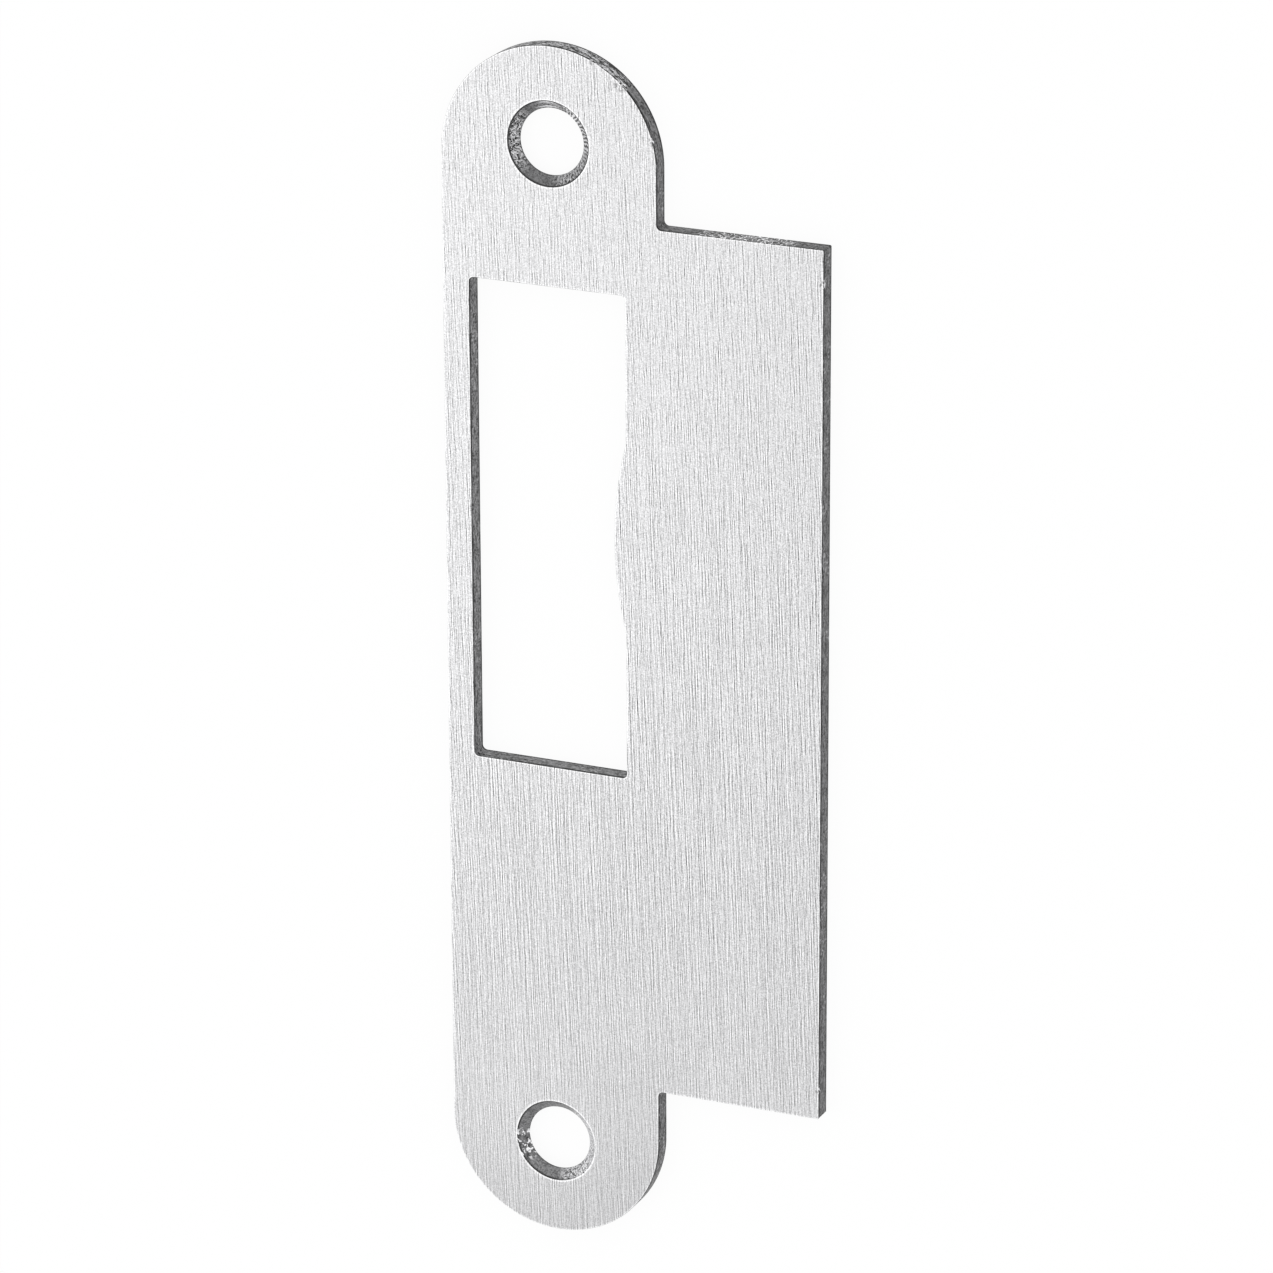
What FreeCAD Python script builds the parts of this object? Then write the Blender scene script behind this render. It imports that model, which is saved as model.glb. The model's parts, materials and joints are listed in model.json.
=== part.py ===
import FreeCAD, Part
import math
import os

# Door strike plate in millimetres, lying on its back, the face that goes against the door frame.
# X runs across the plate towards the lip, Y along the plate, and Z out of the brushed face.
# The origin is on the back face, midway between the two screw holes.

# Strip: the long part with round ends
plateLength = 120.0
stripWidth = 22.0
sheetThickness = 2.0

# Lip: the wide flat part beside the strip, which the latch slides over
shoulderLength = 5.5         # straight side of the strip between each round end and the lip
lipReach = 16.8              # beyond the strip's straight side
lipCornerRadius = 0.15       # its two outer corners, almost sharp
lipRootRadius = 0.5          # the two inner corners, where it leaves the strip

# Latch opening
openingWidth = 16.1
openingLength = 48.2
openingRim = 2.7             # metal left beside the opening, on the side away from the lip
openingScrewDistance = 13.85 # from the upper screw hole's axis down to the opening
openingCornerRadius = 0.5

# Bulge: the shallow curve of metal that bears on the latch, in the opening's lip side
bulgeDepth = 1.2
bulgeRadius = 38.0
bulgeBlendRadius = 0.8       # where the curve meets the opening's straight side

# Screw holes, countersunk alike from both faces, so that the plate can be turned over
screwEndDistance = 9.4       # from each end of the plate to the hole's axis
screwHoleDiameter = 6.5
screwHoleLand = 0.1          # straight wall left between the two countersinks
countersinkAngle = 90.0

# From the plate's mid-length to each screw hole's axis
screwReach = plateLength / 2.0 - screwEndDistance

# How far a cutter runs past each face that it breaks through
cutterOverrun = 1.0

# Two points nearer than this are one point
samePoint = 1.0e-6


def roundCorner(before, corner, after, radius):
    # The start, middle and end of the arc that rounds one corner of an outline.
    towardsBefore = (before - corner).normalize()
    towardsAfter = (after - corner).normalize()
    halfAngle = towardsBefore.getAngle(towardsAfter) / 2.0
    tangentLength = radius / math.tan(halfAngle)
    bisector = (towardsBefore + towardsAfter).normalize()
    middle = corner + bisector * (radius / math.sin(halfAngle) - radius)
    return corner + towardsBefore * tangentLength, middle, corner + towardsAfter * tangentLength


def roundedFace(corners, height):
    # A flat face whose outline is straight runs joined by tangent arcs, one (x, y, radius) a corner.
    points = [FreeCAD.Vector(x, y, height) for x, y, radius in corners]
    count = len(corners)
    arcs = []
    for index, (x, y, radius) in enumerate(corners):
        arcs.append(roundCorner(points[index - 1], points[index], points[(index + 1) % count], radius))
    edges = []
    for index, (start, middle, end) in enumerate(arcs):
        edges.append(Part.Arc(start, middle, end).toShape())
        nextStart = arcs[(index + 1) % count][0]
        if end.distanceToPoint(nextStart) > samePoint:
            edges.append(Part.LineSegment(end, nextStart).toShape())
    return Part.Face(Part.Wire(edges))


def blank():
    # The strip and its lip, cut from flat sheet in one outline.
    side = stripWidth / 2.0
    end = plateLength / 2.0
    lipEnd = end - side - shoulderLength
    lipEdge = side + lipReach
    corners = [
        (-side, -end, side),
        (side, -end, side),
        (side, -lipEnd, lipRootRadius),
        (lipEdge, -lipEnd, lipCornerRadius),
        (lipEdge, lipEnd, lipCornerRadius),
        (side, lipEnd, lipRootRadius),
        (side, end, side),
        (-side, end, side),
    ]
    return roundedFace(corners, 0.0).extrude(FreeCAD.Vector(0, 0, sheetThickness))


def latchOpening():
    # The cutter for the latch opening: a rounded rectangle with the bulge in its lip side.
    rimSide = openingRim - stripWidth / 2.0
    lipSide = rimSide + openingWidth
    high = screwReach - openingScrewDistance
    low = high - openingLength
    middle = (low + high) / 2.0
    # The bulge is one arc between two blends. Its outline turns by this angle where they meet,
    # so the three corners that they round lie this far along and this far in from the side.
    turn = math.acos(1.0 - bulgeDepth / (bulgeRadius + bulgeBlendRadius))
    halfSpan = bulgeRadius * math.sin(turn) + bulgeBlendRadius * math.tan(turn / 2.0) * math.cos(turn)
    apex = lipSide - halfSpan * math.tan(turn)
    corners = [
        (rimSide, low, openingCornerRadius),
        (lipSide, low, openingCornerRadius),
        (lipSide, middle - halfSpan, bulgeBlendRadius),
        (apex, middle, bulgeRadius),
        (lipSide, middle + halfSpan, bulgeBlendRadius),
        (lipSide, high, openingCornerRadius),
        (rimSide, high, openingCornerRadius),
    ]
    cutterDepth = sheetThickness + 2.0 * cutterOverrun
    return roundedFace(corners, -cutterOverrun).extrude(FreeCAD.Vector(0, 0, cutterDepth))


def screwHole(y):
    # The cutter for one screw hole: a short straight bore between two cones, either of which
    # takes the screw's head.
    holeRadius = screwHoleDiameter / 2.0
    sinkDepth = (sheetThickness - screwHoleLand) / 2.0
    widening = math.tan(math.radians(countersinkAngle / 2.0))
    mouthRadius = holeRadius + (sinkDepth + cutterOverrun) * widening
    profile = [
        (0.0, -cutterOverrun),
        (mouthRadius, -cutterOverrun),
        (holeRadius, sinkDepth),
        (holeRadius, sheetThickness - sinkDepth),
        (mouthRadius, sheetThickness + cutterOverrun),
        (0.0, sheetThickness + cutterOverrun),
    ]
    points = [FreeCAD.Vector(radius, y, height) for radius, height in profile]
    outline = Part.Face(Part.makePolygon(points + points[:1]))
    return outline.revolve(FreeCAD.Vector(0, y, 0), FreeCAD.Vector(0, 0, 1), 360)


def strikePlate():
    plate = blank().cut(latchOpening())
    for end in (-1, 1):
        plate = plate.cut(screwHole(end * screwReach))
    return plate


os.makedirs("parts", exist_ok=True)
plate = strikePlate()
plate.exportStep("parts/strike_plate.step")
print("strike_plate", plate.isValid(), len(plate.Solids), round(plate.Volume, 2), plate.BoundBox)
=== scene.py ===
import bpy
import json
import math
from mathutils import Matrix, Vector


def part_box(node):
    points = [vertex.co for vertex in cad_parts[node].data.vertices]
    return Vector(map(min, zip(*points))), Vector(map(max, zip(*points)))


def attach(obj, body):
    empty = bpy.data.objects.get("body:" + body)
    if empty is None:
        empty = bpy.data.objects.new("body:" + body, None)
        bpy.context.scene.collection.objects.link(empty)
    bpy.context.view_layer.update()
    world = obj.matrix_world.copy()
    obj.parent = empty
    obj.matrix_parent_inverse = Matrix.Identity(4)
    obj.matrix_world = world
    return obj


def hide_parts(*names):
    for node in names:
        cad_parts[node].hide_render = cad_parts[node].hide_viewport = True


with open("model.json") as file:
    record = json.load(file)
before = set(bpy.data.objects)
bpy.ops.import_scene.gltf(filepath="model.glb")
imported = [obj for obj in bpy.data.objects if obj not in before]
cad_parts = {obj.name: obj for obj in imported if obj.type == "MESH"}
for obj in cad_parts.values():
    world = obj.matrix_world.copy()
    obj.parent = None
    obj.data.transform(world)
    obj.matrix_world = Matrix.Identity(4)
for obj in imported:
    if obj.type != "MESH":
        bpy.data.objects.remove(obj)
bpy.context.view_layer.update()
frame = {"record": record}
plateLow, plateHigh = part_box("strike_plate")
record = frame["record"]
print("frame loaded")

mm = 0.001
holeMount = record["mounts"][0]["dims"]
screwSpacing = holeMount["spacing_y_mm"] * mm
holeRadius = holeMount["hole_r_mm"] * mm
sinkRadius = record["mount_notes"]["screw_holes"]["countersink_diameter_mm"] * mm / 2.0


plateShape = {
    "shoulder": 5.5 * mm,           # straight side between each round end and the lip
    "lipCorner": 0.15 * mm,
    "lipRoot": 0.5 * mm,
    "openingRim": 2.7 * mm,         # metal beside the opening, away from the lip
    "openingWidth": 16.1 * mm,
    "openingLength": 48.2 * mm,
    "openingFromScrew": 13.85 * mm,
    "openingCorner": 0.5 * mm,
    "bulgeDepth": 1.2 * mm,
    "bulgeRadius": 38.0 * mm,
    "bulgeBlend": 0.8 * mm,
    "facetError": 0.001 * mm,       # how far a facet may cut inside its arc
    "leastSteps": 4,                # points that even the smallest arc gets
    "arris": 0.07 * mm,             # rounding of the sheared arrises
    "holeArris": 0.06 * mm,
    "rim": 0.07 * mm,               # strip beside an arris, which carries a painted highlight
    "holeRim": 0.13 * mm,
    "arrisSteps": 6,
    "holeSteps": 120,
    "faceSlope": 0.75,              # facets that face up or down more than this get the brushed finish
}
openingTop = screwSpacing / 2.0 - plateShape["openingFromScrew"]
openingLeft = plateLow.x + plateShape["openingRim"]
openingRight = openingLeft + plateShape["openingWidth"]
lipTop = plateHigh.y + plateLow.x - plateShape["shoulder"]
midHeight = (plateLow.z + plateHigh.z) / 2.0


# Node trees

class Link:
    # One output of a node. Arithmetic on it adds the Math node that works it out.
    def __init__(self, tree, socket):
        self.tree = tree
        self.socket = socket

    def math(self, operation, first, second):
        return self.tree.add("ShaderNodeMath", {"operation": operation}, [first, second])

    def __add__(self, other):
        return self.math("ADD", self, other)

    def __radd__(self, other):
        return self.math("ADD", other, self)

    def __sub__(self, other):
        return self.math("SUBTRACT", self, other)

    def __rsub__(self, other):
        return self.math("SUBTRACT", other, self)

    def __mul__(self, other):
        return self.math("MULTIPLY", self, other)

    def __rmul__(self, other):
        return self.math("MULTIPLY", other, self)

    def __truediv__(self, other):
        return self.math("DIVIDE", self, other)

    def __neg__(self):
        return self.math("MULTIPLY", self, -1.0)

    def __abs__(self):
        return self.tree.add("ShaderNodeMath", {"operation": "ABSOLUTE"}, [self])


class Tree:
    def __init__(self, nodeTree):
        self.nodeTree = nodeTree

    def add(self, kind, settings=None, values=None, output=0):
        # Settings come first, because some of them change which sockets a node has.
        node = self.nodeTree.nodes.new(kind)
        for name, setting in (settings or {}).items():
            if name == "items":
                while len(node.index_switch_items) < setting:
                    node.index_switch_items.new()
            else:
                setattr(node, name, setting)
        pairs = values.items() if isinstance(values, dict) else enumerate(values or [])
        for name, value in pairs:
            for each in value if isinstance(value, list) else [value]:
                if isinstance(each, Link):
                    self.nodeTree.links.new(each.socket, node.inputs[name])
                else:
                    node.inputs[name].default_value = each
        return Link(self, node.outputs[output]) if node.outputs else None

    def output(self, link, name):
        # A second output of the node that a link comes from.
        return Link(self, link.socket.node.outputs[name])

    def spread(self, value, low, high, toLow=0.0, toHigh=1.0):
        # Moves a value from one range to another, eased at both ends and clamped.
        values = [value, low, high, toLow, toHigh]
        return self.add("ShaderNodeMapRange", {"interpolation_type": "SMOOTHSTEP"}, values)

    def blend(self, share, first, second):
        # A colour between two colours.
        return self.add("ShaderNodeMix", {"data_type": "RGBA"}, {0: share, 6: first, 7: second}, 2)

    def combine(self, x, y, z):
        return self.add("ShaderNodeCombineXYZ", {}, [x, y, z])

    def split(self, vector):
        x = self.add("ShaderNodeSeparateXYZ", {}, [vector])
        return x, self.output(x, "Y"), self.output(x, "Z")


# Finishes

black = (0.0, 0.0, 0.0, 1.0)


def newFinish(name):
    material = bpy.data.materials.new(name)
    material.use_nodes = True
    material.node_tree.nodes.clear()
    return material, Tree(material.node_tree)


def surface(tree, shader):
    tree.add("ShaderNodeOutputMaterial", {}, {"Surface": shader})


def grey(level, blue=0.0):
    return (level, level, level * (1.0 + blue), 1.0)


def seedsOf(look, seed):
    # Where each layer's noise starts, so that no two layers look alike.
    return {name: seed + start for name, start in look["seeds"].items()}


def cells(tree, place, size, seed, detail=1.0):
    # Noise whose blobs measure size, or size along x, y and z. Detail counts the finer layers in it.
    sizes = size if isinstance(size, tuple) else (size, size, size)
    x, y, z = [value * (1.0 / each) + seed for value, each in zip(place, sizes)]
    values = {"Vector": tree.combine(x, y, z), "Scale": 1.0, "Detail": detail}
    return tree.add("ShaderNodeTexNoise", {}, values)


def grains(tree, place, size, seed):
    # A level of its own for each grain of this size, from -0.5 to 0.5.
    x, y, z = [value * (1.0 / size) + seed for value in place]
    values = {"Vector": tree.combine(x, y, z), "Scale": 1.0}
    colour = tree.add("ShaderNodeTexVoronoi", {}, values, "Color")
    return tree.split(colour)[0] - 0.5


def curls(tree, place, size, seed, limits):
    # Thin winding lines, where noise crosses its middle level. They fade between two distances from it.
    level = abs(cells(tree, place, size, seed, detail=0.0) - 0.5)
    return tree.spread(level, *limits)


# Where the front arris is chipped
nicks = {
    "places": [                                    # x, y and size
        (4.65 * mm, 58.97 * mm, 0.5 * mm),
        (7.45 * mm, 57.09 * mm, 0.9 * mm),
        (10.6 * mm, 51.9 * mm, 0.5 * mm),
        (27.8 * mm, 40.2 * mm, 0.55 * mm),
        (27.8 * mm, -40.4 * mm, 0.55 * mm),
    ],
    "core": 0.6,                                   # share of the size that is chipped all over
}


def chipped(tree, position):
    # 1 at each nick.
    mask = 0.0
    for x, y, size in nicks["places"]:
        points = [position, (x, y, plateHigh.z)]
        away = tree.add("ShaderNodeVectorMath", {"operation": "DISTANCE"}, points, "Value")
        mask = tree.spread(away, size, size * nicks["core"]) + mask
    return mask


brushedLook = {
    "tone": 0.636,                          # clean metal between the strokes
    "blue": 0.012,
    "lean": 0.038,                          # how far strokes move towards the lip for each unit down
    "strokes": [                            # width, length and depth of each set, and its share near the top
        (0.100 * mm, 1.6 * mm, 0.32, 1.25),
        (0.105 * mm, 4.0 * mm, 0.32, 1.0),
        (0.110 * mm, 12.0 * mm, 0.28, 0.6),
        (0.115 * mm, 45.0 * mm, 0.20, 0.6),
    ],
    "columnStep": 5.618,                    # in the noise, from one column of strokes to the next
    "topPart": (5.0 * mm, 32.0 * mm),       # along the plate, where the top's shares set in
    "darkStroke": (0.47, 0.29),             # noise levels that a stroke fades in between, in the upper half
    "evenStroke": (0.59, 0.41),             # and near the bottom, where as much is light as dark
    "evenPart": (32.0 * mm, -45.0 * mm),
    "evenDepth": 0.78,                      # share of the contrast left there
    "evenTone": 1.05,
    "ridge": 0.39,                          # share of a stroke's depth that the metal beside it gains
    "layers": [                             # width, length and depth of the wider and the finest mottling
        (1.2 * mm, 25.0 * mm, 0.02),
        (7.0 * mm, 16.0 * mm, 0.05),
        (0.11 * mm, 0.11 * mm, 1.25),
    ],
    "endPart": (12.0 * mm, 38.0 * mm),      # from mid-length, where the contrast falls towards both ends
    "endDepth": 0.90,
    "footPart": (-36.0 * mm, -48.0 * mm),   # and once more at the lower round end
    "footDepth": 0.82,
    "footShade": (-46.0 * mm, -60.0 * mm),  # where that end darkens, a painted shade
    "footShadeTone": 0.93,
    "sideShade": (-2.0 * mm, 9.0 * mm),     # and where its side towards the lip does
    "sideEnd": (15.0 * mm, 11.0 * mm),
    "sidePart": (-35.0 * mm, -45.0 * mm),
    "sideShadeTone": 0.955,
    "wander": 0.20 * mm,                    # how far strokes drift sideways
    "wanderSize": (9.0 * mm, 28.0 * mm, 9.0 * mm),
    "rimPaintedHighlight": 0.42,                       # painted highlight: how much brighter the metal is beside an arris
    "lowHolePaintedHighlight": 0.65,                   # and beside the lower screw hole, which these three bound
    "lowHoleTop": (-44.0 * mm, -45.0 * mm),
    "lowHoleSide": (7.0 * mm, 6.0 * mm),
    "lowHoleFoot": (-57.0 * mm, -56.0 * mm),
    "burrTone": 0.62,                       # how much darker along the burr above the opening
    "burrWidth": 0.10 * mm,
    "burrSize": (1.6 * mm, 1.0 * mm, 1.0 * mm),
    "burrLevels": (0.36, 0.50),
    "burrEnd": 0.7 * mm,
    "chipTone": 0.4,
    "chipGrain": 0.2 * mm,
    "chipLevels": (-0.05, 0.05),
    "roughness": 0.36,
    "strokeRoughness": 0.10,
    "bump": 0.10,
    "bumpHeight": 0.02 * mm,
    "seeds": {"wander": 0.0, "strokes": 0.0, "layers": 31.0, "burr": 71.0, "chips": 83.0},
    "strokesStep": 7.3,                     # from one set's seed to the next one's
    "layersStep": 5.1,
}


def stroke(tree, column, along, length, limits, seed):
    # Strokes with sharp sides and soft ends, because each column of the surface has noise of its own.
    place = tree.combine(column, along * (1.0 / length) + seed, seed)
    noise = tree.add("ShaderNodeTexNoise", {}, {"Vector": place, "Scale": 1.0, "Detail": 0.0})
    return tree.spread(noise, *limits)


def brushing(tree, across, along, look, seeds):
    # Every set of strokes. The metal beside a dark stroke is lighter, as if pushed up by it.
    atTop = tree.spread(along, *look["topPart"])
    even = tree.spread(along, *look["evenPart"])
    limits = [dark + even * (light - dark) for dark, light in zip(look["darkStroke"], look["evenStroke"])]
    step = look["columnStep"]
    grain = 0.0
    for number, (width, length, depth, topShare) in enumerate(look["strokes"]):
        seed = seeds["strokes"] + look["strokesStep"] * number
        column = tree.add("ShaderNodeMath", {"operation": "FLOOR"}, [across * (1.0 / width)]) * step
        left, dark, right = [
            stroke(tree, column + (seed + side * step), along, length, limits, seed) for side in (-1, 0, 1)
        ]
        layer = dark * -depth + (left + right) * (depth * look["ridge"])
        grain = layer * (1.0 + atTop * (topShare - 1.0)) + grain
    return grain * (1.0 + even * (look["evenDepth"] - 1.0)), even


def brushedFace(name, look, seed):
    # Short strokes of an abrasive belt, nearly along the plate.
    material, tree = newFinish(name)
    seeds = seedsOf(look, seed)
    position = tree.add("ShaderNodeTexCoord", {}, {}, "Object")
    x, y, z = place = tree.split(position)
    drift = (cells(tree, place, look["wanderSize"], seeds["wander"]) - 0.5) * look["wander"]
    across = x + y * look["lean"] + drift
    grain, even = brushing(tree, across, y, look, seeds)
    shade = grain
    for number, (width, length, depth) in enumerate(look["layers"]):
        start = seeds["layers"] + look["layersStep"] * number
        shade = shade + (cells(tree, (across, y, z), (width, length, width), start) - 0.5) * depth
    calm = tree.spread(abs(y), *look["endPart"], 1.0, look["endDepth"])
    calm = calm * tree.spread(y, *look["footPart"], 1.0, look["footDepth"])

    # The painted highlight on the strip beside each arris
    rim = tree.add("ShaderNodeAttribute", {"attribute_name": "rim"}, {}, "Fac")
    lowHole = tree.spread(y, *look["lowHoleTop"]) * tree.spread(abs(x), *look["lowHoleSide"])
    lowHole = lowHole * tree.spread(y, *look["lowHoleFoot"])
    rimPaintedHighlight = look["rimPaintedHighlight"] + lowHole * (look["lowHolePaintedHighlight"] - look["rimPaintedHighlight"])
    tone = look["tone"] * (1.0 + shade * calm) * (1.0 + rim * rimPaintedHighlight)

    # Painted shade: the lower end is darker, most of all towards the lip
    tone = tone * tree.spread(y, *look["footShade"], 1.0, look["footShadeTone"])
    side = tree.spread(x, *look["sideShade"]) * tree.spread(x, *look["sideEnd"])
    side = side * tree.spread(y, *look["sidePart"])
    tone = tone * (1.0 + even * (look["evenTone"] - 1.0)) * (1.0 + side * (look["sideShadeTone"] - 1.0))

    # A burr above the opening catches a dark line
    burr = tree.spread(cells(tree, place, look["burrSize"], seeds["burr"]), *look["burrLevels"])
    burr = burr * tree.spread(abs(y - openingTop), look["burrWidth"], 0.0)
    middle = (openingLeft + openingRight) / 2.0
    reach = openingRight - middle
    burr = burr * tree.spread(abs(x - middle), reach, reach - look["burrEnd"])
    chips = tree.spread(grains(tree, place, look["chipGrain"], seeds["chips"]), *look["chipLevels"])
    chips = chipped(tree, position) * chips
    tone = tone * (1.0 - burr * look["burrTone"]) * (1.0 - chips * look["chipTone"])

    colour = tree.blend(tone, black, grey(1.0, look["blue"]))
    roughness = look["roughness"] + grain * look["strokeRoughness"]
    values = {"Strength": look["bump"], "Distance": look["bumpHeight"], "Height": grain}
    bump = tree.add("ShaderNodeBump", {}, values)
    values = {"Base Color": colour, "Metallic": 1.0, "Roughness": roughness, "Normal": bump}
    surface(tree, tree.add("ShaderNodeBsdfPrincipled", {}, values))
    return material


shearedLook = {
    "tone": 0.128,
    "blue": 0.02,
    "openingTone": 1.36,                    # how much lighter the opening's walls are, which these two bound
    "openingSide": (10.0 * mm, 9.0 * mm),
    "openingEnd": (50.0 * mm, 45.0 * mm),
    "blotch": 0.4,                          # how much each layer changes the tone
    "speck": 1.5,
    "drag": 0.8,
    "blotchSize": (0.9 * mm, 0.9 * mm, 0.6 * mm),
    "speckSize": 0.17 * mm,
    "dragSize": (1.2 * mm, 1.2 * mm, 0.20 * mm),
    "dragLevels": (0.36, 0.64),
    "endDepth": (3.8 * mm, 2.2 * mm),       # from the plate's top, where the upper round end is streaked
    "streaked": 2.4,                        # how much stronger the layers are there
    "endPaintedLight": 1.6,                         # and how much lighter it is, a painted light on that wall
    "lipBelow": (0.25 * mm, 0.1 * mm),      # the lip's upper wall, from the straight part of it
    "lipAbove": (0.6 * mm, 0.1 * mm),
    "tornFrom": (14.6 * mm, 15.8 * mm),     # the middle of that wall is torn
    "tornTo": (25.5 * mm, 23.0 * mm),
    "torn": 3.2,                            # how much stronger the layers are there
    "tornShare": 0.8,                       # share of this that is left to the torn part alone
    "tornTone": 0.8,
    "tornToneShare": 0.5,
    "curl": 0.9,                            # tone of the torn edges
    "curlSize": 0.5 * mm,
    "curlLevels": (0.05, 0.015),
    "chip": 0.85,                           # and of the nicks
    "chipSize": 0.4 * mm,
    "chipLevels": (0.09, 0.027),
    "fleck": 0.22,                          # and of the odd bright fleck
    "fleckSize": 0.30 * mm,
    "fleckLevels": (0.62, 0.70),
    "fleckPatch": 2.4 * mm,
    "patchLevels": (0.54, 0.64),
    "arrisPaintedShadeTone": 0.02,                      # the painted dark line along each arris, standing for the dark reflection there
    "arrisWidth": 0.25 * mm,
    "arrisEdge": (0.8, 1.6),                # where it ends, in its own widths
    "arrisWobble": 0.9 * mm,
    "arrisPatch": (5.0 * mm, 5.0 * mm, 1.0 * mm),
    "arrisLevels": (0.34, 0.48),
    "arrisLeast": 0.35,                     # share of the line left where it is faint
    "metallic": 0.6,
    "roughness": 0.5,
    "blotchRoughness": 0.3,
    "bump": 0.2,
    "bumpHeight": 0.05 * mm,
    "speckHeight": 0.4,
    "dragHeight": 0.6,
    "seeds": {
        "blotch": 0.0, "speck": 9.0, "drag": 17.0, "wobble": 23.0, "fleck": 29.0,
        "fleckPatch": 37.0, "chip": 43.0, "arrisPatch": 53.0, "curl": 61.0,
    },
}


def shearedEdge(name, look, seed):
    # The wall that the press tool leaves: dull and mottled, with a painted dark reflection along both
    # arrises.
    material, tree = newFinish(name)
    seeds = seedsOf(look, seed)
    position = tree.add("ShaderNodeTexCoord", {}, {}, "Object")
    x, y, z = place = tree.split(position)
    blotch = cells(tree, place, look["blotchSize"], seeds["blotch"], detail=2.0) - 0.5
    speck = grains(tree, place, look["speckSize"], seeds["speck"])
    drag = cells(tree, place, look["dragSize"], seeds["drag"], detail=0.0)
    drag = tree.spread(drag, *look["dragLevels"]) - 0.5

    # The upper round end is streaked and has painted light, and the lip's upper wall is torn
    endFrom, endTo = [plateHigh.y - depth for depth in look["endDepth"]]
    roundEnd = tree.spread(y, endFrom, endTo)
    lipWall = tree.spread(y, *[lipTop - depth for depth in look["lipBelow"]])
    lipWall = lipWall * tree.spread(y, *[lipTop + height for height in look["lipAbove"]])
    torn = lipWall * tree.spread(x, *look["tornFrom"]) * tree.spread(x, *look["tornTo"])
    share = look["tornShare"]
    strength = 1.0 + roundEnd * (look["streaked"] - 1.0)
    strength = strength + (torn * share + lipWall * (1.0 - share)) * (look["torn"] - 1.0)
    share = look["tornToneShare"]
    toneAndPaintedLight = 1.0 + roundEnd * (look["endPaintedLight"] - 1.0)
    toneAndPaintedLight = toneAndPaintedLight + (torn * share + lipWall * (1.0 - share)) * (look["tornTone"] - 1.0)
    inside = tree.spread(abs(x), *look["openingSide"]) * tree.spread(abs(y), *look["openingEnd"])
    toneAndPaintedLight = toneAndPaintedLight + inside * (look["openingTone"] - 1.0)

    # Bright flecks, torn edges and nicks
    patch = cells(tree, place, look["fleckPatch"], seeds["fleckPatch"], detail=0.0)
    flecks = cells(tree, place, look["fleckSize"], seeds["fleck"], detail=0.0)
    flecks = tree.spread(flecks, *look["fleckLevels"]) * tree.spread(patch, *look["patchLevels"])
    curl = curls(tree, place, look["curlSize"], seeds["curl"], look["curlLevels"]) * torn
    chips = curls(tree, place, look["chipSize"], seeds["chip"], look["chipLevels"]) * chipped(tree, position)

    # The painted dark reflection along each arris
    wobble = (cells(tree, place, look["arrisWobble"], seeds["wobble"]) - 0.5) * look["arrisWidth"]
    fromArris = midHeight - plateLow.z - abs(z - midHeight) + wobble
    near, far = [look["arrisWidth"] * edge for edge in look["arrisEdge"]]
    arris = 1.0 - tree.spread(fromArris, near, far)
    patch = cells(tree, place, look["arrisPatch"], seeds["arrisPatch"])
    arris = arris * tree.spread(patch, *look["arrisLevels"], look["arrisLeast"], 1.0)

    change = blotch * look["blotch"] + speck * look["speck"] + drag * look["drag"]
    tone = look["tone"] * (1.0 + change * strength) * toneAndPaintedLight
    tone = tone * (1.0 - arris) + look["arrisPaintedShadeTone"] * arris
    tone = tone + flecks * look["fleck"] + curl * look["curl"] + chips * look["chip"]
    colour = tree.blend(tone, black, grey(1.0, look["blue"]))
    metallic = look["metallic"] + arris * (1.0 - look["metallic"])
    roughness = look["roughness"] + blotch * look["blotchRoughness"]
    height = speck * look["speckHeight"] + drag * look["dragHeight"] + blotch
    values = {"Strength": look["bump"], "Distance": look["bumpHeight"], "Height": height}
    bump = tree.add("ShaderNodeBump", {}, values)
    values = {"Base Color": colour, "Metallic": metallic, "Roughness": roughness, "Normal": bump}
    surface(tree, tree.add("ShaderNodeBsdfPrincipled", {}, values))
    return material


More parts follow.
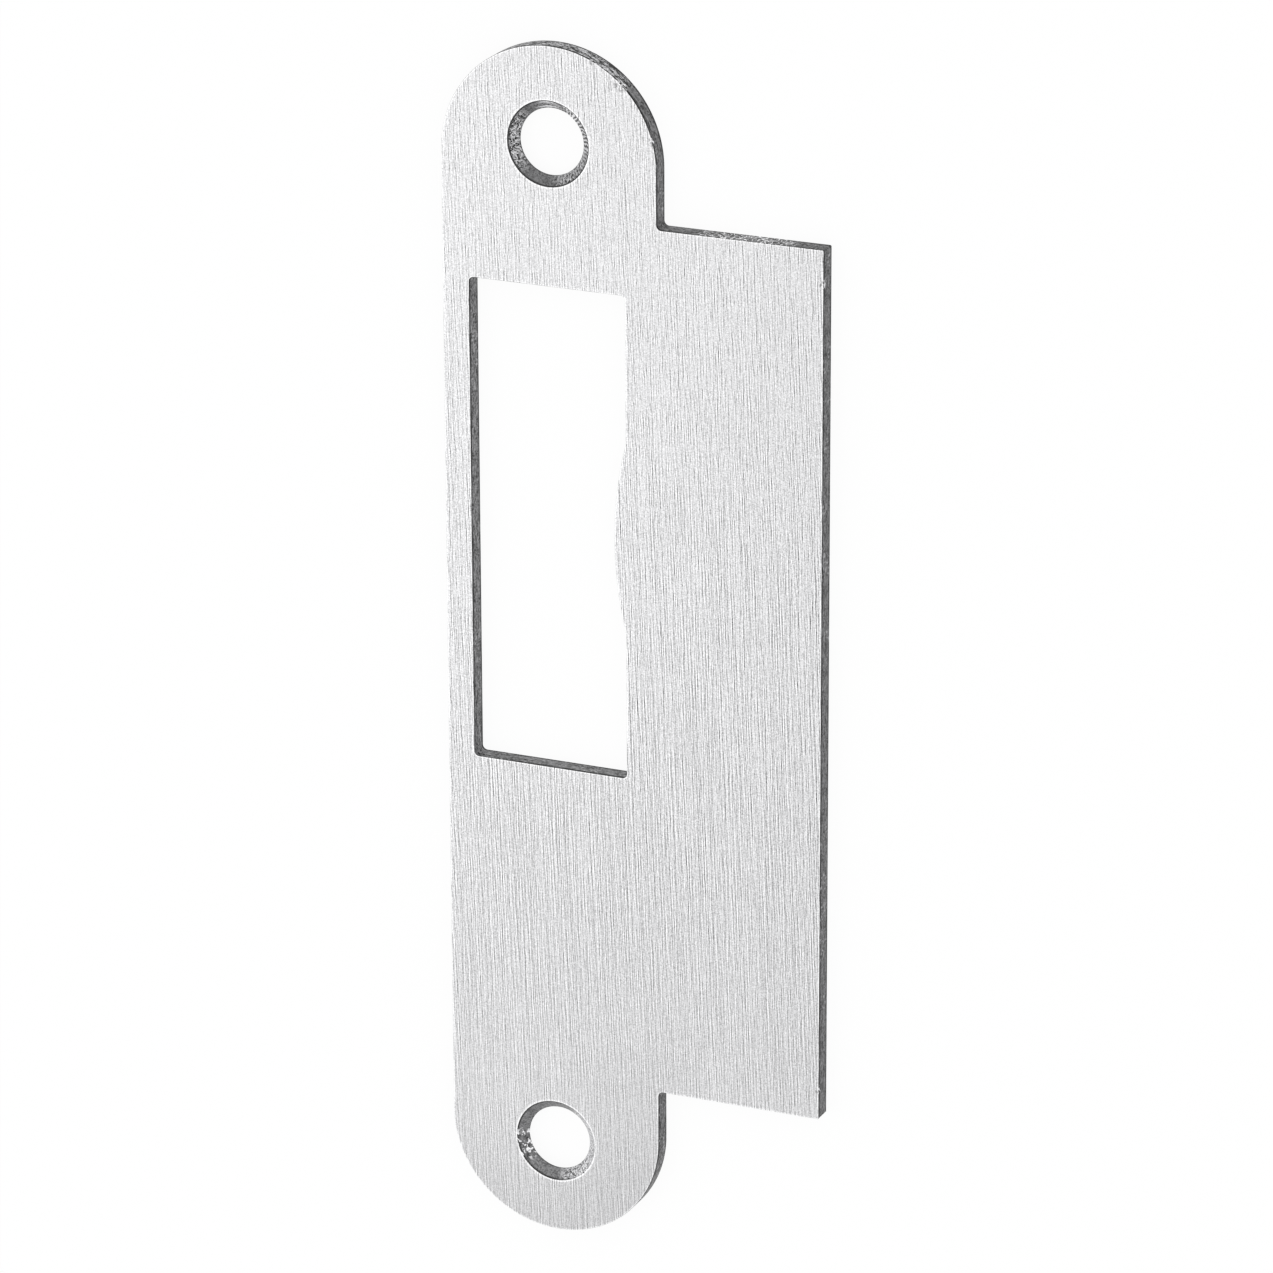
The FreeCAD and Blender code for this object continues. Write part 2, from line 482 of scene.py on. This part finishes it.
# Parts of a hole's wall are given by how far they point: 1 is straight towards the lip or the plate's top.
sinkLook = {
    "upperPart": (-1.0 * mm, 1.0 * mm),     # along the plate, where the upper hole's look takes over
    "upperTone": 0.165,
    "lowerTone": 0.205,
    "blue": 0.02,
    "upperPaintedLight": 0.17,                     # painted light added towards the lip in the upper hole
    "lowerPaintedLight": 0.40,                     # and in the lower one
    "lightFrom": (0.0, 0.7),
    "lightTurn": 0.15,
    "leftPaintedLight": 0.13,                      # painted light added away from the lip in the upper hole
    "leftFrom": (-0.55, -0.95),
    "topPaintedLight": 0.36,                       # and near its top
    "topFrom": (0.76, 1.0),
    "topTurn": 0.2,
    "lowRightFrom": (0.95, 1.30),           # the quarter below, towards the lip
    "cornerFrom": (-0.45, -0.65),
    "rings": 1.3,                           # how much each layer changes the tone
    "ticks": 1.2,
    "pepper": 3.2,
    "haze": 0.4,
    "ringSize": (0.15 * mm, 2.5 * mm, 2.5 * mm),
    "ringLevels": (0.38, 0.62),
    "ringLeast": 0.08,                      # share of the rings left away from the top
    "tickCount": 62,
    "tickTwist": 1.2 / mm,
    "tickWobble": 6.0,
    "tickSize": 0.5 * mm,
    "tickFade": 0.6,
    "pepperSize": 0.13 * mm,
    "leftRough": 0.75,                      # shares of the pepper by part
    "lowRightRough": 0.35,
    "plainRough": 0.30,
    "cornerRough": 0.4,
    "hazeSize": 0.8 * mm,
    "tornSide": (-0.68, -0.80),             # the torn part of the lower hole, away from the lip
    "tornTop": (0.22, 0.0),
    "torn": 0.9,                            # tone of the metal pulled up there, partly a painted glint
    "tornSize": (0.45 * mm, 0.45 * mm, 0.30 * mm),
    "tornLevels": (0.51, 0.57),
    "tornPepper": (-0.45, -0.20),
    "scar": 0.4,                            # how much darker the scars between are
    "scarSize": (0.4 * mm, 0.5 * mm, 0.3 * mm),
    "scarLevels": (0.5, 0.6),
    "lineTone": 0.03,                       # the dark line along the mouth and the throat
    "lineWidth": 0.14 * mm,
    "mouthEdge": (1.5, 0.6),                # where it fades, in its own widths
    "throatEdge": (0.9, 0.2),
    "throatDepth": 0.7,
    "mouthFade": 0.85,                      # share of it lost where the lower hole has painted light
    "metallic": 0.45,
    "roughness": 0.45,
    "hazeRoughness": 0.2,
    "bump": 0.25,
    "bumpHeight": 0.04 * mm,
    "pepperHeight": 0.6,
    "tickHeight": 0.6,
    "seeds": {"rings": 0.0, "ticks": 9.0, "pepper": 17.0, "haze": 23.0, "torn": 41.0, "scar": 47.0},
}


def turnedSink(name, look, seed):
    # The walls of both screw holes, with painted light on parts of them by where they point. The tool left
    # the upper one rough, and the lower one smooth but torn.
    material, tree = newFinish(name)
    seeds = seedsOf(look, seed)
    x, y, z = place = tree.split(tree.add("ShaderNodeTexCoord", {}, {}, "Object"))
    upper = tree.spread(y, *look["upperPart"])
    lower = 1.0 - upper
    up = y - (upper * 2.0 - 1.0) * (screwSpacing / 2.0)
    radius = tree.add("ShaderNodeMath", {"operation": "SQRT"}, [x * x + up * up])
    angle = tree.add("ShaderNodeMath", {"operation": "ARCTAN2"}, [up, x])
    lipSide = x / radius
    topSide = up / radius
    onLeft = tree.spread(lipSide, *look["leftFrom"])
    onRight = tree.spread(lipSide - topSide * look["lightTurn"], *look["lightFrom"])
    onTop = tree.spread(topSide + lipSide * look["topTurn"], *look["topFrom"])
    lowRight = tree.spread(lipSide - topSide, *look["lowRightFrom"])
    corner = lowRight * tree.spread(topSide, *look["cornerFrom"]) * lower

    # Tool marks
    rings = cells(tree, (radius, x, y), look["ringSize"], seeds["rings"], detail=0.0)
    rings = tree.spread(rings, *look["ringLevels"]) - 0.5
    wobble = cells(tree, place, look["tickSize"], seeds["ticks"], detail=0.0) - 0.5
    ticks = angle * look["tickCount"] + radius * look["tickTwist"] + wobble * look["tickWobble"]
    ticks = tree.add("ShaderNodeMath", {"operation": "SINE"}, [ticks])
    pepper = grains(tree, place, look["pepperSize"], seeds["pepper"])
    haze = cells(tree, place, look["hazeSize"], seeds["haze"], detail=2.0) - 0.5
    rough = upper * (onLeft * look["leftRough"] + lowRight * look["lowRightRough"] + look["plainRough"])
    rough = rough + lower * look["plainRough"] + corner * look["cornerRough"]
    change = rings * (onTop * upper + look["ringLeast"]) * look["rings"]
    change = change + ticks * onRight * upper * (1.0 - lowRight * look["tickFade"]) * look["ticks"]
    change = change + pepper * rough * look["pepper"] + haze * look["haze"]

    # Torn metal in the lower hole, its bright flecks partly painted glints
    side = tree.spread(lipSide, *look["tornSide"]) * tree.spread(topSide, *look["tornTop"]) * lower
    torn = tree.spread(cells(tree, place, look["tornSize"], seeds["torn"]), *look["tornLevels"])
    torn = torn * tree.spread(pepper, *look["tornPepper"]) * side
    scar = tree.spread(cells(tree, place, look["scarSize"], seeds["scar"]), *look["scarLevels"])
    change = change - scar * side * look["scar"]

    # Dark lines along the mouth and the throat
    throat = abs(z - midHeight)
    mouth = midHeight - throat
    mouthFar, mouthNear = [look["lineWidth"] * edge for edge in look["mouthEdge"]]
    throatFar, throatNear = [look["lineWidth"] * edge for edge in look["throatEdge"]]
    line = tree.spread(mouth, mouthFar, mouthNear) * (1.0 - onRight * lower * look["mouthFade"])
    line = line + tree.spread(throat, throatFar, throatNear) * look["throatDepth"]

    # Painted light: lighter towards the lip in both holes, and away from it and near the top in the upper
    # one
    tone = look["upperTone"] * upper + look["lowerTone"] * lower
    tone = tone + (look["upperPaintedLight"] * upper + look["lowerPaintedLight"] * lower) * onRight
    tone = tone + (look["leftPaintedLight"] * onLeft + look["topPaintedLight"] * onTop) * upper
    tone = tone * (1.0 + change)
    tone = tone * (1.0 - line) + look["lineTone"] * line + torn * look["torn"]
    colour = tree.blend(tone, black, grey(1.0, look["blue"]))
    roughness = look["roughness"] + haze * look["hazeRoughness"]
    height = rings + pepper * look["pepperHeight"] + ticks * look["tickHeight"]
    values = {"Strength": look["bump"], "Distance": look["bumpHeight"], "Height": height}
    bump = tree.add("ShaderNodeBump", {}, values)
    values = {"Base Color": colour, "Metallic": look["metallic"], "Roughness": roughness, "Normal": bump}
    surface(tree, tree.add("ShaderNodeBsdfPrincipled", {}, values))
    return material


frontFinish = brushedFace("brushedFace", brushedLook, 3.0)
backFinish = brushedFace("brushedBack", brushedLook, 90.0)
edgeFinish = shearedEdge("shearedEdge", shearedLook, 5.0)
holeFinish = turnedSink("countersunkHole", sinkLook, 61.0)
print("finishes made")


# Plate

def outerCorners():
    # Corner points of the plate's outline with their radii, counterclockwise.
    side = -plateLow.x
    end = plateHigh.y
    # Just under half the width, which leaves a hair of edge between the two corners of a round end
    roundEnd = side - plateShape["facetError"]
    lower = [
        (-side, -end, roundEnd),
        (side, -end, roundEnd),
        (side, -lipTop, plateShape["lipRoot"]),
        (plateHigh.x, -lipTop, plateShape["lipCorner"]),
    ]
    upper = [(x, -y, radius) for x, y, radius in reversed(lower)]
    return lower + upper


def openingCorners():
    # The same for the latch opening, with the bulge's crest as one wide corner.
    low = openingTop - plateShape["openingLength"]
    middle = (low + openingTop) / 2.0
    radius = plateShape["bulgeRadius"]
    blend = plateShape["bulgeBlend"]
    turn = math.acos(1.0 - plateShape["bulgeDepth"] / (radius + blend))
    halfSpan = radius * math.sin(turn) + blend * math.tan(turn / 2.0) * math.cos(turn)
    crest = openingRight - halfSpan * math.tan(turn)
    corner = plateShape["openingCorner"]
    around = [
        (openingLeft, low, corner),
        (openingRight, low, corner),
        (openingRight, middle - halfSpan, blend),
        (crest, middle, radius),
        (openingRight, middle + halfSpan, blend),
        (openingRight, openingTop, corner),
        (openingLeft, openingTop, corner),
    ]
    return list(reversed(around))


def cornerSteps(corners):
    # How many points each corner's arc needs.
    steps = []
    for index, (x, y, radius) in enumerate(corners):
        before = Vector(corners[index - 1][:2])
        after = Vector(corners[(index + 1) % len(corners)][:2])
        corner = Vector((x, y))
        turn = (corner - before).angle(after - corner)
        step = 2.0 * math.acos(1.0 - plateShape["facetError"] / radius)
        steps.append(max(plateShape["leastSteps"], math.ceil(turn / step) + 1))
    return steps


def cornerLoops(name, loops):
    # A mesh of closed loops of corner points, which carry their radius and their number of steps.
    points = []
    edges = []
    radii = []
    steps = []
    for loop in loops:
        first = len(points)
        points += [(x, y, 0.0) for x, y, radius in loop]
        radii += [radius for x, y, radius in loop]
        steps += cornerSteps(loop)
        edges += [(first + index, first + (index + 1) % len(loop)) for index in range(len(loop))]
    mesh = bpy.data.meshes.new(name)
    mesh.from_pydata(points, edges, [])
    mesh.attributes.new("cornerRadius", "FLOAT", "POINT").data.foreach_set("value", radii)
    mesh.attributes.new("cornerSteps", "INT", "POINT").data.foreach_set("value", steps)
    piece = bpy.data.objects.new(name, mesh)
    bpy.context.scene.collection.objects.link(piece)
    return piece


def named(tree, kind, name):
    # Reads a named attribute.
    return tree.add("GeometryNodeInputNamedAttribute", {"data_type": kind}, {"Name": name})


def store(tree, geometry, name, value):
    settings = {"data_type": "FLOAT"}
    return tree.add("GeometryNodeStoreNamedAttribute", settings, {0: geometry, "Name": name, "Value": value})


def rounded(tree, curve, steps, radius):
    # Rounds a curve's corners, each by its own radius.
    values = {"Curve": curve, "Count": steps, "Radius": radius, "Limit Radius": True}
    return tree.add("GeometryNodeFilletCurve", {"mode": "POLY"}, values)


def section(tree, corners, steps):
    # A wall's section as a curve, from corners (out of the metal, height, radius, rim).
    count = len(corners)
    line = tree.add("GeometryNodeMeshLine", {}, {"Count": count})
    index = tree.add("GeometryNodeInputIndex")
    points = {"Index": index}
    radii = {"Index": index}
    rims = {"Index": index}
    for number, (out, height, radius, rim) in enumerate(corners):
        points[number + 1] = tree.combine(out, height * -1.0, 0.0)
        radii[number + 1] = radius
        rims[number + 1] = rim
    place = tree.add("GeometryNodeIndexSwitch", {"data_type": "VECTOR", "items": count}, points)
    rounding = tree.add("GeometryNodeIndexSwitch", {"data_type": "FLOAT", "items": count}, radii)
    rim = tree.add("GeometryNodeIndexSwitch", {"data_type": "FLOAT", "items": count}, rims)
    line = tree.add("GeometryNodeSetPosition", {}, {"Geometry": line, "Position": place})
    line = store(tree, line, "rounding", rounding)
    # rim is 1 at the arris, where the face finish paints its highlight
    line = store(tree, line, "rim", rim)
    curve = tree.add("GeometryNodeMeshToCurve", {}, [line])
    return rounded(tree, curve, steps, named(tree, "FLOAT", "rounding"))


def sweep(tree, path, profile, finish):
    # Carries a section along a flat path.
    upright = tree.add("GeometryNodeSetCurveNormal", {"mode": "Z_UP"}, [path])
    wall = tree.add("GeometryNodeCurveToMesh", {}, {"Curve": upright, "Profile Curve": profile})
    return tree.add("GeometryNodeSetMaterial", {}, {"Geometry": wall, "Material": finish})


def filledFace(tree, strips, edges, height, finish):
    # A flat face bounded by some of the strips' edges.
    rings = tree.add("GeometryNodeMeshToCurve", {}, [strips, edges])
    sheet = tree.add("GeometryNodeFillCurve", {"mode": "TRIANGLES"}, [rings])
    offset = tree.combine(0.0, 0.0, height)
    sheet = tree.add("GeometryNodeSetPosition", {}, {"Geometry": sheet, "Offset": offset})
    return tree.add("GeometryNodeSetMaterial", {}, {"Geometry": sheet, "Material": finish})


def both(tree, first, second):
    return tree.add("FunctionNodeBooleanMath", {"operation": "AND"}, [first, second])


def above(tree, value, level):
    settings = {"data_type": "FLOAT", "operation": "GREATER_THAN"}
    return tree.add("FunctionNodeCompare", settings, [value, level])


def below(tree, value, level):
    settings = {"data_type": "FLOAT", "operation": "LESS_THAN"}
    return tree.add("FunctionNodeCompare", settings, [value, level])


def plateTree(name, inputs):
    # Walls swept round the outlines and the screw holes, then closed by the two flat faces.
    group = bpy.data.node_groups.new(name, "GeometryNodeTree")
    group.interface.new_socket("Geometry", in_out="INPUT", socket_type="NodeSocketGeometry")
    for inputName, value in inputs.items():
        kind = "NodeSocketInt" if isinstance(value, int) else "NodeSocketFloat"
        group.interface.new_socket(inputName, in_out="INPUT", socket_type=kind)
    group.interface.new_socket("Geometry", in_out="OUTPUT", socket_type="NodeSocketGeometry")
    tree = Tree(group)
    loops = tree.add("NodeGroupInput")
    size = {inputName: tree.output(loops, inputName) for inputName in inputs}
    thickness = size["Thickness"]

    # Outline and latch opening
    outline = tree.add("GeometryNodeMeshToCurve", {}, [loops])
    outline = rounded(tree, outline, named(tree, "INT", "cornerSteps"), named(tree, "FLOAT", "cornerRadius"))
    arris = size["Arris"]
    inner = -(arris + size["Rim"])
    corners = [
        (inner, thickness, 0.0, 0.0),
        (0.0, thickness, arris, 1.0),
        (0.0, 0.0, arris, 1.0),
        (inner, 0.0, 0.0, 0.0),
    ]
    walls = sweep(tree, outline, section(tree, corners, size["Arris Steps"]), edgeFinish)

    # Screw holes
    throat = size["Hole Radius"]
    arris = size["Hole Arris"]
    inner = -(arris + size["Hole Rim"])
    mouth = throat - size["Countersink Radius"]
    sinkDepth = size["Countersink Radius"] - throat
    corners = [
        (mouth + inner, thickness, 0.0, 0.0),
        (mouth, thickness, arris, 1.0),
        (0.0, thickness - sinkDepth, arris, 0.0),
        (0.0, sinkDepth, arris, 0.0),
        (mouth, 0.0, arris, 1.0),
        (mouth + inner, 0.0, 0.0, 0.0),
    ]
    values = {"Resolution": size["Hole Steps"], "Radius": throat}
    circle = tree.add("GeometryNodeCurvePrimitiveCircle", {}, values)
    circle = tree.add("GeometryNodeReverseCurve", {}, [circle])
    hole = sweep(tree, circle, section(tree, corners, size["Arris Steps"]), holeFinish)
    spacing = size["Screw Spacing"]
    first = tree.combine(0.0, spacing * -0.5, 0.0)
    values = {"Count": 2, "Start Location": first, "Offset": tree.combine(0.0, spacing, 0.0)}
    centres = tree.add("GeometryNodeMeshLine", {}, values)
    holes = tree.add("GeometryNodeInstanceOnPoints", {}, {"Points": centres, "Instance": hole})
    holes = tree.add("GeometryNodeRealizeInstances", {}, [holes])

    # Flat faces, filled in between the swept strips' free edges, which have one face beside them and not two
    strips = tree.add("GeometryNodeJoinGeometry", {}, [[walls, holes]])
    facesBeside = tree.add("GeometryNodeInputMeshEdgeNeighbors")
    free = below(tree, facesBeside, 1.5)
    x, y, height = tree.split(tree.add("GeometryNodeInputPosition"))
    half = thickness * 0.5
    front = filledFace(tree, strips, both(tree, free, above(tree, height, half)), thickness, frontFinish)
    back = filledFace(tree, strips, both(tree, free, below(tree, height, half)), 0.0, backFinish)
    back = tree.add("GeometryNodeFlipFaces", {}, [back])
    whole = tree.add("GeometryNodeJoinGeometry", {}, [[strips, front, back]])
    whole = tree.add("GeometryNodeMergeByDistance", {}, {"Geometry": whole, "Distance": size["Merge"]})

    # The finish follows the slope of each facet, so that it changes part of the way round an arris
    x, y, slope = tree.split(tree.add("GeometryNodeInputNormal", {}, {}, "True Normal"))
    facingUp = above(tree, slope, size["Face Slope"])
    facingDown = below(tree, slope, -size["Face Slope"])
    whole = tree.add("GeometryNodeSetMaterial", {}, {0: whole, 1: facingUp, 2: frontFinish})
    whole = tree.add("GeometryNodeSetMaterial", {}, {0: whole, 1: facingDown, 2: backFinish})
    whole = tree.add("GeometryNodeSetShadeSmooth", {}, [whole])
    tree.add("NodeGroupOutput", {}, [whole])
    return group


def makePlate():
    sizes = {
        "Thickness": plateHigh.z - plateLow.z,
        "Arris": plateShape["arris"],
        "Rim": plateShape["rim"],
        "Arris Steps": plateShape["arrisSteps"],
        "Hole Radius": holeRadius,
        "Countersink Radius": sinkRadius,
        "Hole Arris": plateShape["holeArris"],
        "Hole Rim": plateShape["holeRim"],
        "Hole Steps": plateShape["holeSteps"],
        "Screw Spacing": screwSpacing,
        "Merge": 2.0 * plateShape["facetError"],
        "Face Slope": plateShape["faceSlope"],
    }
    base = cornerLoops("strikePlateCorners", [outerCorners(), openingCorners()])
    group = plateTree("strikePlate", sizes)
    modifier = base.modifiers.new("strikePlate", "NODES")
    modifier.node_group = group
    for name, value in sizes.items():
        modifier[group.interface.items_tree[name].identifier] = value
    depsgraph = bpy.context.evaluated_depsgraph_get()
    mesh = bpy.data.meshes.new_from_object(base.evaluated_get(depsgraph))
    bpy.data.objects.remove(base)
    mesh.name = "strikePlate"
    plate = bpy.data.objects.new("strikePlate", mesh)
    bpy.context.scene.collection.objects.link(plate)
    return plate


plate = makePlate()
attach(plate, "root")
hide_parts("strike_plate")
print("plate made:", len(plate.data.polygons), "faces")


# Floor, light and camera

studio = {
    "floorRadius": 6.0,
    "floorTone": 0.95,
    "floorGap": 0.02 * mm,                # below the plate's back, so that the two don't share a plane
    "floorWhite": 0.94,                   # share of plain white over the lit floor
    "worldLevel": 1.0,
    "lampAim": (0.0, 0.01, 0.0),
    "softboxPlace": (-0.342, -0.125, 0.51),
    "softboxSize": 0.25,
    "softboxPower": 0.19,
}


def seenRay(tree):
    # 1 for a ray from the camera, or one reflected or refracted on its way.
    path = tree.add("ShaderNodeLightPath", {}, {}, "Is Camera Ray")
    seen = path + tree.output(path, "Is Glossy Ray") + tree.output(path, "Is Transmission Ray")
    return tree.add("ShaderNodeClamp", {}, [seen])


def makeFloor():
    mesh = bpy.data.meshes.new("floor")
    reach = studio["floorRadius"]
    height = plateLow.z - studio["floorGap"]
    corners = [
        (-reach, -reach, height),
        (reach, -reach, height),
        (reach, reach, height),
        (-reach, reach, height),
    ]
    mesh.from_pydata(corners, [], [(0, 1, 2, 3)])
    floor = bpy.data.objects.new("floor", mesh)
    bpy.context.scene.collection.objects.link(floor)
    material, tree = newFinish("paleFloor")
    lit = tree.add("ShaderNodeBsdfDiffuse", {}, {"Color": grey(studio["floorTone"])})
    white = tree.add("ShaderNodeEmission", {}, {"Color": grey(1.0), "Strength": 1.0})
    share = seenRay(tree) * studio["floorWhite"]
    surface(tree, tree.add("ShaderNodeMixShader", {}, [share, lit, white]))
    mesh.materials.append(material)


def makeWorld():
    world = bpy.data.worlds.new("whiteRoom")
    world.use_nodes = True
    world.node_tree.nodes.clear()
    bpy.context.scene.world = world
    tree = Tree(world.node_tree)
    background = tree.add("ShaderNodeBackground", {}, {"Color": grey(1.0), "Strength": studio["worldLevel"]})
    tree.add("ShaderNodeOutputWorld", {}, {"Surface": background})


def makeSoftbox():
    data = bpy.data.lights.new("softbox", "AREA")
    data.shape = "SQUARE"
    data.size = studio["softboxSize"]
    data.energy = studio["softboxPower"]
    softbox = bpy.data.objects.new("softbox", data)
    softbox.location = studio["softboxPlace"]
    towardsPlate = Vector(studio["lampAim"]) - softbox.location
    softbox.rotation_euler = towardsPlate.to_track_quat("-Z", "Y").to_euler()
    bpy.context.scene.collection.objects.link(softbox)


photoView = {
    "aim": (8.857 * mm, 3.161 * mm),      # where the view's middle meets the brushed face
    "turn": 23.869,                       # degrees towards the lip, from straight above
    "rise": 19.682,                       # degrees towards the upper end
    "roll": 0.206,
    "distance": 653.02 * mm,
    "lens": 194.555,
}


def makeCamera():
    data = bpy.data.cameras.new("camera")
    data.lens = photoView["lens"]
    camera = bpy.data.objects.new("camera", data)
    bpy.context.scene.collection.objects.link(camera)
    turn = math.radians(photoView["turn"])
    rise = math.radians(photoView["rise"])
    roll = math.radians(photoView["roll"])
    back = Vector((math.sin(turn) * math.cos(rise), math.sin(rise), math.cos(turn) * math.cos(rise)))
    level = Vector((0.0, 1.0, 0.0))
    level = (level - back * level.dot(back)).normalized()
    up = level * math.cos(roll) + level.cross(back) * math.sin(roll)
    right = up.cross(back)
    aim = Vector((*photoView["aim"], plateHigh.z))
    turned = Matrix((right, up, back)).transposed().to_4x4()
    camera.matrix_world = Matrix.Translation(aim + back * photoView["distance"]) @ turned
    bpy.context.scene.camera = camera


makeFloor()
makeWorld()
makeSoftbox()
makeCamera()
bpy.context.scene.view_settings.view_transform = "Standard"
print("floor, light and camera made")
